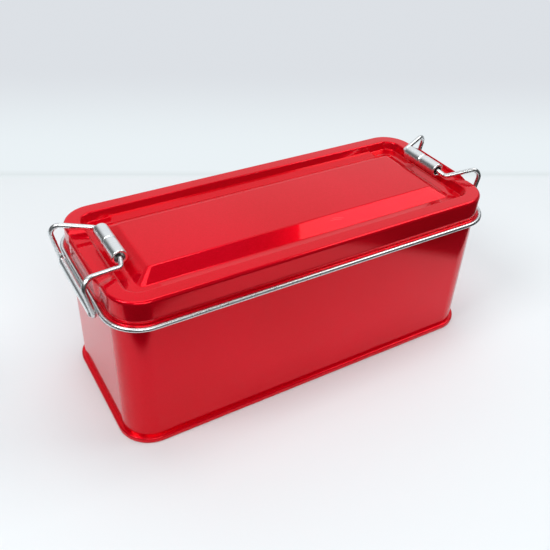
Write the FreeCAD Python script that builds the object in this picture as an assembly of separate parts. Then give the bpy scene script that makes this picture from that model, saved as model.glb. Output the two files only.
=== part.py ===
import FreeCAD, Part
import math
import os

# Rectangular tin with a pressed slip-over lid, a wire ring round its neck and two wire clasps.
# Millimetres. X runs along the length, Y across the width, Z up; the origin is the middle of
# the face the tin stands on.

Vec = FreeCAD.Vector
UP = Vec(0, 0, 1)
ACROSS = Vec(0, 1, 0)

# Lid, outside
LID_LENGTH = 195.0
LID_WIDTH = 80.0
LID_CORNER = 14.6
TIN_HEIGHT = 80.8
SKIRT_HEIGHT = 10.8
SHEET = 0.6
LID_EDGE_RADIUS = 1.5
HEM_HEIGHT = 0.9
HEM_PROUD = 0.25
HEM_ROUND = 0.22

# Lid, pressed top
RIM_WIDTH = 7.4
RIM_INNER_RADIUS = 0.7
RECESS_DEPTH = 4.0
RECESS_WALL_RUN = 1.5
CHANNEL_FLOOR = 5.6
PLATEAU_SLOPE_RUN = 7.3
PLATEAU_CORNER = 1.6
PLATEAU_FOOT_CORNER = 3.2
PLATEAU_EDGE_RADIUS = 0.6
LEDGE_END_GAP = 14.6
LEDGE_RISE = 1.0
LEDGE_END_RADIUS = 2.4

# Seat pressed into the rim at each end for the clasp wires, open to the channel
SEAT_LENGTH = 45.6
SEAT_DEPTH = 2.0
SEAT_RAMP_RUN = 4.8
SEAT_NARROWING = 3.4
SEAT_LIP = 1.1
SEAT_WALL_RUN = 0.9
SEAT_CORNER = 2.0
SEAT_FOOT_RADIUS = 0.8

# Swell that the pressing leaves in each end wall outside the seat
SWELL_OUT = 1.3
SWELL_FLAT = 30.0
SWELL_END_RUN = 6.0

# Body
LID_FIT = 0.2
BASE_SEAM_HEIGHT = 3.0
BASE_SEAM_PROUD = 1.8
BASE_SEAM_ROUND = 0.9
BASE_FLANGE_WIDTH = 3.4
BASE_PANEL_RAISE = 1.1
BASE_SHEET = 0.4
BEAD_HEIGHT = 3.4
BEAD_ROUND = 0.8
LID_TO_BEAD = 0.1

# Wire ring round the neck
RING_WIRE = 2.1
RING_CLEAR_OF_LID = 0.82
RING_BELOW_SKIRT = 1.17
RING_SINK = 0.25

# Clasps
BAIL_WIRE = 2.3
BAIL_TOP_OUT = 7.8
BAIL_TOP_ABOVE_RIM = 5.5
BAIL_LEG_SPREAD = 45.0
BAIL_TOP_BEND = 4.2
BAIL_SLEEVE_BEND = 1.9
BAIL_ELBOW_BEND = 2.4
BAIL_ELBOW_SPREAD = 32.6
BAIL_ELBOW_ABOVE_RIM = 1.9
BAIL_END_GAP = 5.0
FERRULE_DIAMETER = 7.0
FERRULE_LENGTH = 23.5
FERRULE_SET_IN = 12.2
FERRULE_ABOVE_RIM = 3.2
FERRULE_WALL = 0.7
FERRULE_BORE_DEPTH = 7.5
FERRULE_EDGE = 0.3
CRIMP_WIDTH = 1.5
CRIMP_DEPTH = 0.4
SLEEVE_DIAMETER = 4.0
SLEEVE_LENGTH = 40.0
SLEEVE_BORE = 3.0
SLEEVE_MOUTH_DEPTH = 3.0
SLEEVE_RING_OVERLAP = 0.05
SLEEVE_ANGLE = 45.0
WIRE_FIT = 0.05

# Modelling helpers: how far cutters run past a face, and how closely edges are told apart
OVERCUT = 1.0
NEAR = 0.01

HALF_LENGTH = LID_LENGTH / 2.0
HALF_WIDTH = LID_WIDTH / 2.0
SKIRT_BOTTOM = TIN_HEIGHT - SKIRT_HEIGHT
BODY_INSET = SHEET + LID_FIT
RING_R = RING_WIRE / 2.0
RING_Z = SKIRT_BOTTOM - RING_BELOW_SKIRT
RING_OUTSET = RING_CLEAR_OF_LID + RING_R
BAIL_R = BAIL_WIRE / 2.0
SLEEVE_R = SLEEVE_DIAMETER / 2.0
FERRULE_R = FERRULE_DIAMETER / 2.0
NO_SHIFT = Vec(0, 0, 0)
ALONG = Vec(1, 0, 0)


def rounded_outline(inset, corner, z):
    """Closed rounded rectangle, the lid's outline moved in by inset, at height z."""
    hx = HALF_LENGTH - inset
    hy = HALF_WIDTH - inset
    edges = []
    corners = [(hx - corner, hy - corner, 0.0), (corner - hx, hy - corner, 90.0),
               (corner - hx, corner - hy, 180.0), (hx - corner, corner - hy, 270.0)]
    previous = None
    first = None
    for cx, cy, start in corners:
        points = []
        for turn in (0.0, 45.0, 90.0):
            angle = math.radians(start + turn)
            points.append(Vec(cx + corner * math.cos(angle), cy + corner * math.sin(angle), z))
        if previous is None:
            first = points[0]
        else:
            edges.append(Part.LineSegment(previous, points[0]).toShape())
        edges.append(Part.Arc(*points).toShape())
        previous = points[2]
    edges.append(Part.LineSegment(previous, first).toShape())
    return Part.Wire(edges)


def slab(inset, corner, low, high):
    """Upright block of the lid's outline moved in by inset, from low to high."""
    face = Part.Face(rounded_outline(inset, corner, low))
    return face.extrude(UP * (high - low))


def frustum(low_inset, low_corner, low, high_inset, high_corner, high):
    """Block whose walls lean from one rounded outline to another."""
    outlines = [rounded_outline(low_inset, low_corner, low),
                rounded_outline(high_inset, high_corner, high)]
    return Part.makeLoft(outlines, True, True)


def corner_at(inset):
    """Corner radius of an outline that runs parallel to the lid's."""
    return max(LID_CORNER - inset, PLATEAU_FOOT_CORNER)


def level_edges(shape, z, inset):
    """The edges of a shape that lie level at height z and no deeper in than inset."""
    reach_x = HALF_LENGTH - inset
    reach_y = HALF_WIDTH - inset
    found = []
    for edge in shape.Edges:
        box = edge.BoundBox
        flat = abs(box.ZMin - z) < NEAR and abs(box.ZMax - z) < NEAR
        middle = edge.valueAt((edge.FirstParameter + edge.LastParameter) / 2.0)
        outside = abs(middle.x) > reach_x - NEAR or abs(middle.y) > reach_y - NEAR
        if flat and outside:
            found.append(edge)
    return found


def ledge(side, sheet):
    """Long shallow ledge along one side of the channel, rising to the recess wall."""
    floor = TIN_HEIGHT - RECESS_DEPTH - sheet
    outer = HALF_WIDTH - RIM_WIDTH
    inner = outer - RECESS_WALL_RUN - CHANNEL_FLOOR
    half = HALF_LENGTH - RIM_WIDTH - LEDGE_END_GAP
    profile = Part.makePolygon([Vec(-half, inner, floor - OVERCUT), Vec(-half, outer, floor - OVERCUT),
                                Vec(-half, outer, floor + LEDGE_RISE), Vec(-half, inner, floor),
                                Vec(-half, inner, floor - OVERCUT)])
    bar = Part.Face(profile).extrude(Vec(2 * half, 0, 0))
    ends = [edge for edge in bar.Edges
            if abs(edge.tangentAt(edge.FirstParameter).z) > 1.0 - NEAR and edge.BoundBox.YMax < inner + NEAR]
    bar = bar.makeFillet(LEDGE_END_RADIUS, ends)
    if side < 0:
        bar = bar.mirror(NO_SHIFT, ACROSS)
    return bar


def recess(sheet):
    """Room above the pressed channel, with the plateau and the two ledges left standing."""
    floor = TIN_HEIGHT - RECESS_DEPTH - sheet
    top = TIN_HEIGHT + OVERCUT
    lean = RECESS_WALL_RUN / RECESS_DEPTH
    foot = RIM_WIDTH + RECESS_WALL_RUN - sheet
    mouth = RIM_WIDTH - sheet - lean * (OVERCUT + sheet)
    room = frustum(foot, corner_at(foot), floor, mouth, corner_at(mouth), top)
    plateau_foot = RIM_WIDTH + RECESS_WALL_RUN + CHANNEL_FLOOR + sheet
    plateau_top = plateau_foot + PLATEAU_SLOPE_RUN
    plateau = frustum(plateau_foot, PLATEAU_FOOT_CORNER, floor, plateau_top, PLATEAU_CORNER,
                      TIN_HEIGHT - sheet)
    plateau = plateau.makeFillet(PLATEAU_EDGE_RADIUS, level_edges(plateau, TIN_HEIGHT - sheet, plateau_top))
    above = slab(plateau_foot, PLATEAU_FOOT_CORNER, TIN_HEIGHT - sheet, top)
    room = room.fuse(above).cut(plateau)
    for side in (1, -1):
        room = room.cut(ledge(side, sheet))
    return room


def seat_outline(rise, sheet):
    """Outline of the seat's room at a share of its depth above its floor."""
    z = TIN_HEIGHT - SEAT_DEPTH * (1.0 - rise) - sheet
    inner = HALF_LENGTH - RIM_WIDTH - RECESS_WALL_RUN
    outer = HALF_LENGTH + SWELL_OUT - SEAT_LIP - SEAT_WALL_RUN * (1.0 - rise) + sheet
    half = SEAT_LENGTH / 2.0 - SEAT_RAMP_RUN * (1.0 - rise) + sheet
    wide, narrow = [half - SEAT_NARROWING * (HALF_LENGTH - x) / RIM_WIDTH for x in (outer, inner)]
    return Part.makePolygon([Vec(inner, -narrow, z), Vec(outer, -wide, z), Vec(outer, wide, z),
                             Vec(inner, narrow, z), Vec(inner, -narrow, z)])


def seat(end, sheet):
    """Room of the seat for the clasp wires in one end of the rim."""
    floor = TIN_HEIGHT - SEAT_DEPTH - sheet
    middle = HALF_LENGTH - RIM_WIDTH / 2.0
    mouth = (SEAT_DEPTH + sheet + OVERCUT) / SEAT_DEPTH
    room = Part.makeLoft([seat_outline(0.0, sheet), seat_outline(mouth, sheet)], True, True)
    corners = [edge for edge in room.Edges
               if edge.BoundBox.ZLength > SEAT_DEPTH and edge.BoundBox.XMin > middle]
    room = room.makeFillet(SEAT_CORNER, corners)
    foot = [edge for edge in room.Edges
            if edge.BoundBox.ZMax < floor + NEAR and edge.BoundBox.XMax > middle]
    room = room.makeFillet(SEAT_FOOT_RADIUS, foot)
    if end < 0:
        room = room.mirror(NO_SHIFT, ALONG)
    return room


def swell(end, inset, low, high):
    """Block by which one end wall stands out beside the seat, its ends eased by two arcs each."""
    face = HALF_LENGTH - inset
    flat = SWELL_FLAT / 2.0
    radius = (SWELL_END_RUN ** 2 + SWELL_OUT ** 2) / (4.0 * SWELL_OUT)
    half_turn = math.asin(SWELL_END_RUN / 2.0 / radius) / 2.0
    sag = radius * (1.0 - math.cos(half_turn))
    along = radius * math.sin(half_turn)
    reach = flat + SWELL_END_RUN
    ease = [(SWELL_OUT, flat), (SWELL_OUT - sag, flat + along), (SWELL_OUT / 2.0, (flat + reach) / 2.0),
            (sag, reach - along), (0.0, reach)]
    far = [Vec(face + out, y, low) for out, y in ease]
    near = [Vec(face + out, -y, low) for out, y in ease]
    back = [Vec(face - OVERCUT, side[-1].y, low) for side in (far, near)]
    lines = [Part.LineSegment(*pair) for pair in
             ((near[0], far[0]), (far[-1], back[0]), (back[0], back[1]), (back[1], near[-1]))]
    arcs = [Part.Arc(*side[first:first + 3]) for side in (far, near) for first in (0, 2)]
    outline = Part.Wire(Part.__sortEdges__([curve.toShape() for curve in lines + arcs]))
    block = Part.Face(outline).extrude(UP * (high - low))
    if end < 0:
        block = block.mirror(NO_SHIFT, ALONG)
    return block


def lid_block(inset, low, high):
    """Upright block of the lid's outline with its two swells, moved in by inset."""
    block = slab(inset, LID_CORNER - inset, low, high)
    for end in (1, -1):
        block = block.fuse(swell(end, inset, low, high))
    return block.removeSplitter()


def mouth_edges(form, top):
    """The edges where the flat rim turns down into the channel."""
    rim_edges = level_edges(form, top, RIM_WIDTH + RECESS_WALL_RUN)
    outer = [edge.hashCode() for edge in level_edges(form, top, RIM_WIDTH / 2.0)]
    return [edge for edge in rim_edges if edge.hashCode() not in outer]


def lid_form(sheet):
    """Solid form of the lid's outside (sheet 0) or of its inside (sheet thickness)."""
    edge_radius = LID_EDGE_RADIUS - sheet
    top = TIN_HEIGHT - sheet
    form = lid_block(sheet, SKIRT_BOTTOM, top)
    form = form.makeFillet(edge_radius, level_edges(form, top, sheet))
    if sheet == 0:
        hem = lid_block(-HEM_PROUD, SKIRT_BOTTOM, SKIRT_BOTTOM + HEM_HEIGHT)
        rims = level_edges(hem, SKIRT_BOTTOM, -HEM_PROUD)
        rims += level_edges(hem, SKIRT_BOTTOM + HEM_HEIGHT, -HEM_PROUD)
        form = form.fuse(hem.makeFillet(HEM_ROUND, rims))
    form = form.cut(recess(sheet))
    form = form.makeFillet(RIM_INNER_RADIUS - sheet, mouth_edges(form, top))
    for end in (1, -1):
        form = form.cut(seat(end, sheet))
    return form.removeSplitter()


def make_lid():
    """Pressed lid: one sheet with rim, channel, plateau, seats and skirt."""
    return lid_form(0).cut(lid_form(SHEET).fuse(lid_block(SHEET, SKIRT_BOTTOM - OVERCUT, SKIRT_BOTTOM)))


def ring_seat():
    """Path and solid of the wire ring round the neck."""
    path = rounded_outline(-RING_OUTSET, LID_CORNER + RING_OUTSET, RING_Z)
    start = path.Edges[0].valueAt(path.Edges[0].FirstParameter)
    along = path.Edges[0].tangentAt(path.Edges[0].FirstParameter)
    circle = Part.Wire(Part.Circle(start, along, RING_R).toShape())
    return path.makePipeShell([circle], True, True)


def make_body():
    """Closed tin below and inside the lid, with the bead that carries the ring."""
    shell = slab(BODY_INSET, LID_CORNER - BODY_INSET, BASE_PANEL_RAISE + BASE_SHEET, SKIRT_BOTTOM)
    core = lid_form(SHEET).common(slab(BODY_INSET, LID_CORNER - BODY_INSET, SKIRT_BOTTOM, TIN_HEIGHT))
    bead_out = -RING_CLEAR_OF_LID - RING_SINK
    bead_top = SKIRT_BOTTOM - LID_TO_BEAD
    bead = slab(bead_out, LID_CORNER - bead_out, bead_top - BEAD_HEIGHT, bead_top)
    rims = level_edges(bead, bead_top, bead_out) + level_edges(bead, bead_top - BEAD_HEIGHT, bead_out)
    bead = bead.makeFillet(BEAD_ROUND, rims)
    return shell.fuse([core, bead]).cut(ring_seat()).removeSplitter()


def make_base():
    """Base end with its rolled seam, which the tin stands on, and its raised panel."""
    seam_inset = BODY_INSET - BASE_SEAM_PROUD
    flange = seam_inset + BASE_FLANGE_WIDTH
    seam = slab(seam_inset, LID_CORNER - seam_inset, 0.0, BASE_SEAM_HEIGHT)
    rims = level_edges(seam, 0.0, seam_inset) + level_edges(seam, BASE_SEAM_HEIGHT, seam_inset)
    seam = seam.makeFillet(BASE_SEAM_ROUND, rims)
    above = slab(BODY_INSET, LID_CORNER - BODY_INSET, BASE_PANEL_RAISE + BASE_SHEET, TIN_HEIGHT)
    below = slab(flange, LID_CORNER - flange, -OVERCUT, BASE_PANEL_RAISE)
    return seam.cut(above).cut(below)


def bent_path(corners, bends):
    """Open wire path through corner points, each inner corner rounded by its bend radius."""
    edges = []
    start = corners[0]
    for index in range(1, len(corners) - 1):
        corner = corners[index]
        back = (corners[index - 1] - corner).normalize()
        ahead = (corners[index + 1] - corner).normalize()
        half_angle = back.getAngle(ahead) / 2.0
        bend = bends[index - 1]
        reach = bend / math.tan(half_angle)
        enter = corner + back * reach
        leave = corner + ahead * reach
        middle_way = (back + ahead).normalize()
        middle = corner + middle_way * (bend / math.sin(half_angle) - bend)
        edges.append(Part.LineSegment(start, enter).toShape())
        edges.append(Part.Arc(enter, middle, leave).toShape())
        start = leave
    edges.append(Part.LineSegment(start, corners[-1]).toShape())
    return Part.Wire(edges)


def rod(path, radius):
    """Round wire swept along a path."""
    first = path.Edges[0]
    circle = Part.Wire(Part.Circle(first.valueAt(first.FirstParameter),
                                   first.tangentAt(first.FirstParameter), radius).toShape())
    return path.makePipeShell([circle], True, False)


def ferrule_axis():
    """Distance out from the middle, and height, of the ferrule's axis."""
    return HALF_LENGTH - FERRULE_SET_IN, TIN_HEIGHT + FERRULE_ABOVE_RIM


def sleeve_axis():
    """Distance out from the middle, and height, of the sleeve's axis beside the ring."""
    reach = RING_R + SLEEVE_R - SLEEVE_RING_OVERLAP
    angle = math.radians(SLEEVE_ANGLE)
    return HALF_LENGTH + RING_OUTSET + reach * math.cos(angle), RING_Z - reach * math.sin(angle)


def make_bail():
    """Clasp wire: through the ferrule, over the rim, down both legs and into the sleeve."""
    ferrule_x, ferrule_z = ferrule_axis()
    sleeve_x, sleeve_z = sleeve_axis()
    top_x = HALF_LENGTH + BAIL_TOP_OUT
    top_z = TIN_HEIGHT + BAIL_TOP_ABOVE_RIM
    elbow_x = ferrule_x + BAIL_R
    elbow_z = TIN_HEIGHT + BAIL_ELBOW_ABOVE_RIM
    elbow_y = BAIL_ELBOW_SPREAD / 2.0
    leg_y = BAIL_LEG_SPREAD / 2.0
    half = [Vec(ferrule_x, 0, ferrule_z), Vec(ferrule_x, FERRULE_LENGTH / 2.0, ferrule_z),
            Vec(elbow_x, elbow_y, elbow_z), Vec(top_x, leg_y, top_z),
            Vec(sleeve_x, leg_y, sleeve_z), Vec(sleeve_x, BAIL_END_GAP / 2.0, sleeve_z)]
    bends = [BAIL_ELBOW_BEND, BAIL_ELBOW_BEND, BAIL_TOP_BEND, BAIL_SLEEVE_BEND]
    near = rod(bent_path(half, bends), BAIL_R)
    return near.fuse(near.mirror(NO_SHIFT, ACROSS)).removeSplitter()


def tube(radius, length, x, z):
    """Bar along Y, centred across the tin."""
    return Part.makeCylinder(radius, length, Vec(x, -length / 2.0, z), ACROSS)


def make_ferrule():
    """Rolled tube crimped on the clasp wire, open at both ends, with a crimp groove."""
    x, z = ferrule_axis()
    body = tube(FERRULE_R, FERRULE_LENGTH, x, z)
    ends = [edge for edge in body.Edges if edge.Length > FERRULE_DIAMETER and edge.BoundBox.YLength < NEAR]
    body = body.makeFillet(FERRULE_EDGE, ends)
    groove = tube(FERRULE_R + OVERCUT, CRIMP_WIDTH, x, z)
    groove = groove.cut(tube(FERRULE_R - CRIMP_DEPTH, CRIMP_WIDTH, x, z))
    body = body.cut(groove).cut(tube(BAIL_R + WIRE_FIT, FERRULE_LENGTH, x, z))
    bore = FERRULE_R - FERRULE_WALL
    for side in (1, -1):
        mouth = FERRULE_LENGTH / 2.0 * side
        room = Part.makeCylinder(bore, FERRULE_BORE_DEPTH, Vec(x, mouth, z), ACROSS * -side)
        body = body.cut(room)
    return body


def make_sleeve():
    """Hinge tube of the clasp, lying against the ring."""
    x, z = sleeve_axis()
    body = tube(SLEEVE_R, SLEEVE_LENGTH, x, z).cut(tube(BAIL_R + WIRE_FIT, SLEEVE_LENGTH, x, z))
    for side in (1, -1):
        mouth = SLEEVE_LENGTH / 2.0 * side
        room = Part.makeCylinder(SLEEVE_BORE / 2.0, SLEEVE_MOUTH_DEPTH, Vec(x, mouth, z), ACROSS * -side)
        body = body.cut(room)
    return body


def both_ends(name, shape):
    """Write the right-hand piece and its mirror image at the left end."""
    write(name + "_right", shape)
    write(name + "_left", shape.mirror(NO_SHIFT, ALONG))


def write(name, shape):
    """Write one piece to its STEP file."""
    shape.exportStep(os.path.join("parts", name + ".step"))
    print(name, len(shape.Solids), round(shape.Volume, 1), shape.isValid())


def main():
    os.makedirs("parts", exist_ok=True)
    write("tin_body", make_body())
    write("base_seam", make_base())
    write("lid", make_lid())
    write("neck_ring", ring_seat())
    both_ends("bail", make_bail())
    both_ends("ferrule", make_ferrule())
    both_ends("hinge_sleeve", make_sleeve())


main()
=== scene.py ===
"""Rectangular lacquered tin with a pressed slip-over lid, a neck ring and two wire clasps."""

import logging
import math
from dataclasses import dataclass, field
from enum import Enum

import bmesh
import bpy
from mathutils import Matrix, Vector


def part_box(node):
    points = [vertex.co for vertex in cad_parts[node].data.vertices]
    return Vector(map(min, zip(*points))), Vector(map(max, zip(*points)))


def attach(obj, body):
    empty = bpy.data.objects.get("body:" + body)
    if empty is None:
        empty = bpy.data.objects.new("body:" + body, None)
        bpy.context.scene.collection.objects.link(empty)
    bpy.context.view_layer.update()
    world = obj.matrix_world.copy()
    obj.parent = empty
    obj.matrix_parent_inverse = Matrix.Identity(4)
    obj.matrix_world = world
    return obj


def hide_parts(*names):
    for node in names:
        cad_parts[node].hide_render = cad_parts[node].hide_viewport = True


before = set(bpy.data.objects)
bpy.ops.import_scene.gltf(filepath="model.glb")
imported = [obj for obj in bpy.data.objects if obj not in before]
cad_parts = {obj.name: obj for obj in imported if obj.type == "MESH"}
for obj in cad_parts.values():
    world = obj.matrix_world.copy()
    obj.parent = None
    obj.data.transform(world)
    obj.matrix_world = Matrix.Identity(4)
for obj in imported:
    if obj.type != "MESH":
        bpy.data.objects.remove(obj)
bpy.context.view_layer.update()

MM = 0.001
UP = Vector((0.0, 0.0, 1.0))
ALONG = Vector((1.0, 0.0, 0.0))
ACROSS = Vector((0.0, 1.0, 0.0))
NOISE_SPAN = (0.3, 0.7)  # values that soft noise mostly runs over
TUBE_SHARP_ANGLE = 35.0  # degrees past which an edge of a tube stays sharp

# Short names for types
Colour = tuple[float, float, float, float]
Triple = tuple[float, float, float]
Pair = tuple[float, float]
Node = bpy.types.Node
Socket = bpy.types.NodeSocket
Mesh = bmesh.types.BMesh
Edges = list[bmesh.types.BMEdge]
Material = bpy.types.Material

log = logging.getLogger("lacquered_tin")


class End(Enum):
    """Which end of the tin a clasp is on; the value is the side of X."""

    RIGHT = 1
    LEFT = -1

    @property
    def node_suffix(self) -> str:
        """Suffix of the frame's node names at this end."""
        return "_" + self.name.lower()


class Slot(Enum):
    """Material slots of the record."""

    ENAMEL = "enamel"
    WIRE = "wire"
    TUBE = "tube"


# --- Measuring the frame ---


@dataclass(frozen=True)
class Extent:
    """Lowest and highest corner of one node of the frame, in millimetres."""

    low: Vector
    high: Vector

    @classmethod
    def of(cls, node: str) -> "Extent":
        """Measure a node.

        Args:
            node: Name of the node in the frame.

        Returns:
            Its extent at rest.
        """
        low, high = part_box(node)
        return cls(low / MM, high / MM)

    @property
    def middle(self) -> Vector:
        """Middle of the box."""
        return (self.low + self.high) / 2.0

    @property
    def span(self) -> Vector:
        """Length of the box along each axis."""
        return self.high - self.low


@dataclass(frozen=True)
class Outline:
    """Rounded rectangle that lid, body, seam and ring all run parallel to, in millimetres.

    Attributes:
        half_length: Half its length.
        half_width: Half its width.
        corner: Its corner radius.
        hem_proud: How far the lid's hem stands out from it.
        swell_out: How far the lid's end walls swell out from it beside the seats.
    """

    half_length: float
    half_width: float
    corner: float = 14.6
    hem_proud: float = 0.25
    swell_out: float = 1.3

    @classmethod
    def measure(cls) -> "Outline":
        """Outline of the lid in the frame."""
        lid = Extent.of("lid")
        return cls(lid.high.x - cls.hem_proud - cls.swell_out, lid.high.y - cls.hem_proud)


# --- Node trees ---


class NodeBoard:
    """Short hand for laying out and wiring shader nodes in one tree."""

    def __init__(self, tree: bpy.types.NodeTree) -> None:
        """Clear a tree and start laying nodes on it."""
        self.tree = tree
        self.tree.nodes.clear()

    def add(self, kind: str, **settings: object) -> Node:
        """Lay one node.

        Args:
            kind: Node type without its ShaderNode prefix.
            settings: Node properties to set.

        Returns:
            The new node.
        """
        node = self.tree.nodes.new("ShaderNode" + kind)
        for name, value in settings.items():
            setattr(node, name, value)
        return node

    def wire(self, source: Socket, target: Socket) -> None:
        """Join an output to an input."""
        self.tree.links.new(source, target)

    def feed(self, target: Socket, value: object) -> None:
        """Wire a socket, or set it when the value is plain.

        Args:
            target: Input to supply.
            value: Output socket, number, colour or vector.
        """
        if isinstance(value, Socket):
            self.wire(value, target)
        else:
            target.default_value = value

    def fill(self, node: Node, values: tuple[object, ...]) -> Node:
        """Feed a node's inputs in order.

        Args:
            node: Node to feed.
            values: One value for each input.

        Returns:
            The same node.
        """
        for index, value in enumerate(values):
            self.feed(node.inputs[index], value)
        return node

    def maths(self, operation: str, *values: object, clamp: bool = False) -> Socket:
        """Work out one number.

        Args:
            operation: Name of the Math node's operation.
            values: Its inputs in order.
            clamp: Whether the result stays within 0 and 1.

        Returns:
            The result's socket.
        """
        return self.fill(self.add("Math", operation=operation, use_clamp=clamp), values).outputs[0]

    def vector(self, operation: str, *values: object, output: int = 0) -> Socket:
        """Work out one vector, or the number that the operation gives when output is 1."""
        return self.fill(self.add("VectorMath", operation=operation), values).outputs[output]

    def position(self) -> Socket:
        """Object coordinates, in metres."""
        return self.add("TexCoord").outputs["Object"]

    def past(self, way: Triple, edge: float) -> Socket:
        """Distance past a straight edge.

        Args:
            way: Direction square to the edge.
            edge: Distance of the edge from the middle, metres.

        Returns:
            Socket with the distance.
        """
        return self.maths("SUBTRACT", self.vector("DOT_PRODUCT", self.position(), way, output=1), edge)

    def noise(self, scale: Triple, detail: float) -> Socket:
        """Soft noise on object coordinates.

        Args:
            scale: Grain frequency along each axis, per metre.
            detail: Number of finer octaves.

        Returns:
            Socket with a value about 0.5.
        """
        mapping = self.add("Mapping")
        mapping.inputs["Scale"].default_value = scale
        self.wire(self.position(), mapping.inputs["Vector"])
        node = self.add("TexNoise")
        node.inputs["Scale"].default_value = 1.0
        node.inputs["Detail"].default_value = detail
        self.wire(mapping.outputs["Vector"], node.inputs["Vector"])
        return node.outputs["Fac"]

    def grain(self, size_mm: float, detail: float) -> Socket:
        """Soft noise with grains of about one size, in millimetres."""
        return self.noise((1.0 / (size_mm * MM),) * 3, detail)

    def remap(self, value: Socket, source: Pair, result: Pair, kind: str = "LINEAR") -> Socket:
        """Carry a value over from one range to another and hold it there.

        Args:
            value: Socket with the value.
            source: Start and end of the range it comes from.
            result: What it becomes at the start and at the end.
            kind: How it runs between them.

        Returns:
            Socket with the result.
        """
        node = self.add("MapRange", interpolation_type=kind)
        self.wire(value, node.inputs["Value"])
        for name, end in zip(("From Min", "From Max", "To Min", "To Max"), source + result):
            node.inputs[name].default_value = end
        return node.outputs["Result"]

    def spread(self, noise: Socket, result: Pair) -> Socket:
        """Stretch a noise value so that it runs over the whole result."""
        return self.remap(noise, NOISE_SPAN, result)

    def blend(self, factor: object, first: object, second: object) -> Socket:
        """Mix two colours.

        Args:
            factor: Share of the second colour.
            first: Colour or socket at 0.
            second: Colour or socket at 1.

        Returns:
            Socket with the mixed colour.
        """
        node = self.add("Mix", data_type="RGBA")
        self.feed(node.inputs["Factor"], factor)
        self.feed(node.inputs[6], first)
        self.feed(node.inputs[7], second)
        return node.outputs[2]

    def bump(self, height: Socket, depth_mm: float, strength: float = 0.05) -> Socket:
        """Turn a height into a disturbed normal.

        Args:
            height: Socket with the height.
            depth_mm: Full height in millimetres.
            strength: Share of the effect.

        Returns:
            Socket with the normal.
        """
        node = self.add("Bump")
        node.inputs["Strength"].default_value = strength
        node.inputs["Distance"].default_value = depth_mm * MM
        self.wire(height, node.inputs["Height"])
        return node.outputs["Normal"]


# --- Finishes ---


def blank_finish(name: str) -> tuple[Material, NodeBoard, Node]:
    """Start a material on one surface shader.

    Args:
        name: Name of the material.

    Returns:
        The material, the board of its nodes, and the shader wired to its output.
    """
    material = bpy.data.materials.new(name)
    material.use_nodes = True
    board = NodeBoard(material.node_tree)
    shader = board.add("BsdfPrincipled")
    output = board.add("OutputMaterial")
    board.wire(shader.outputs["BSDF"], output.inputs["Surface"])
    return material, board, shader


@dataclass(frozen=True)
class Scratch:
    """Faint curved scratch in the lacquer: part of a circle seen from above.

    Attributes:
        centre: Middle of the circle, millimetres.
        radius: Radius of the circle.
        width: Width of the line.
        facing: Direction from the centre to the middle of the arc.
        reach: Smallest cosine of the angle from facing that the arc still covers.
    """

    centre: Triple
    radius: float
    width: float
    facing: Triple
    reach: float

    def mask(self, board: NodeBoard) -> Socket:
        """Socket that is 1 on the scratch and 0 elsewhere.

        Args:
            board: Board of the lacquer.

        Returns:
            The mask.
        """
        flat = board.vector("MULTIPLY", board.position(), (1.0, 1.0, 0.0))
        centre = Vector((self.centre[0], self.centre[1], 0.0)) * MM
        away = board.vector("SUBTRACT", flat, tuple(centre))
        distance = board.vector("LENGTH", away, output=1)
        offset = board.maths("ABSOLUTE", board.maths("SUBTRACT", distance, self.radius * MM))
        on_line = board.maths("LESS_THAN", offset, self.width * MM / 2.0)
        direction = board.vector("NORMALIZE", away)
        cosine = board.vector("DOT_PRODUCT", direction, self.facing, output=1)
        in_arc = board.maths("GREATER_THAN", cosine, self.reach)
        return board.maths("MULTIPLY", on_line, in_arc)


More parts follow.
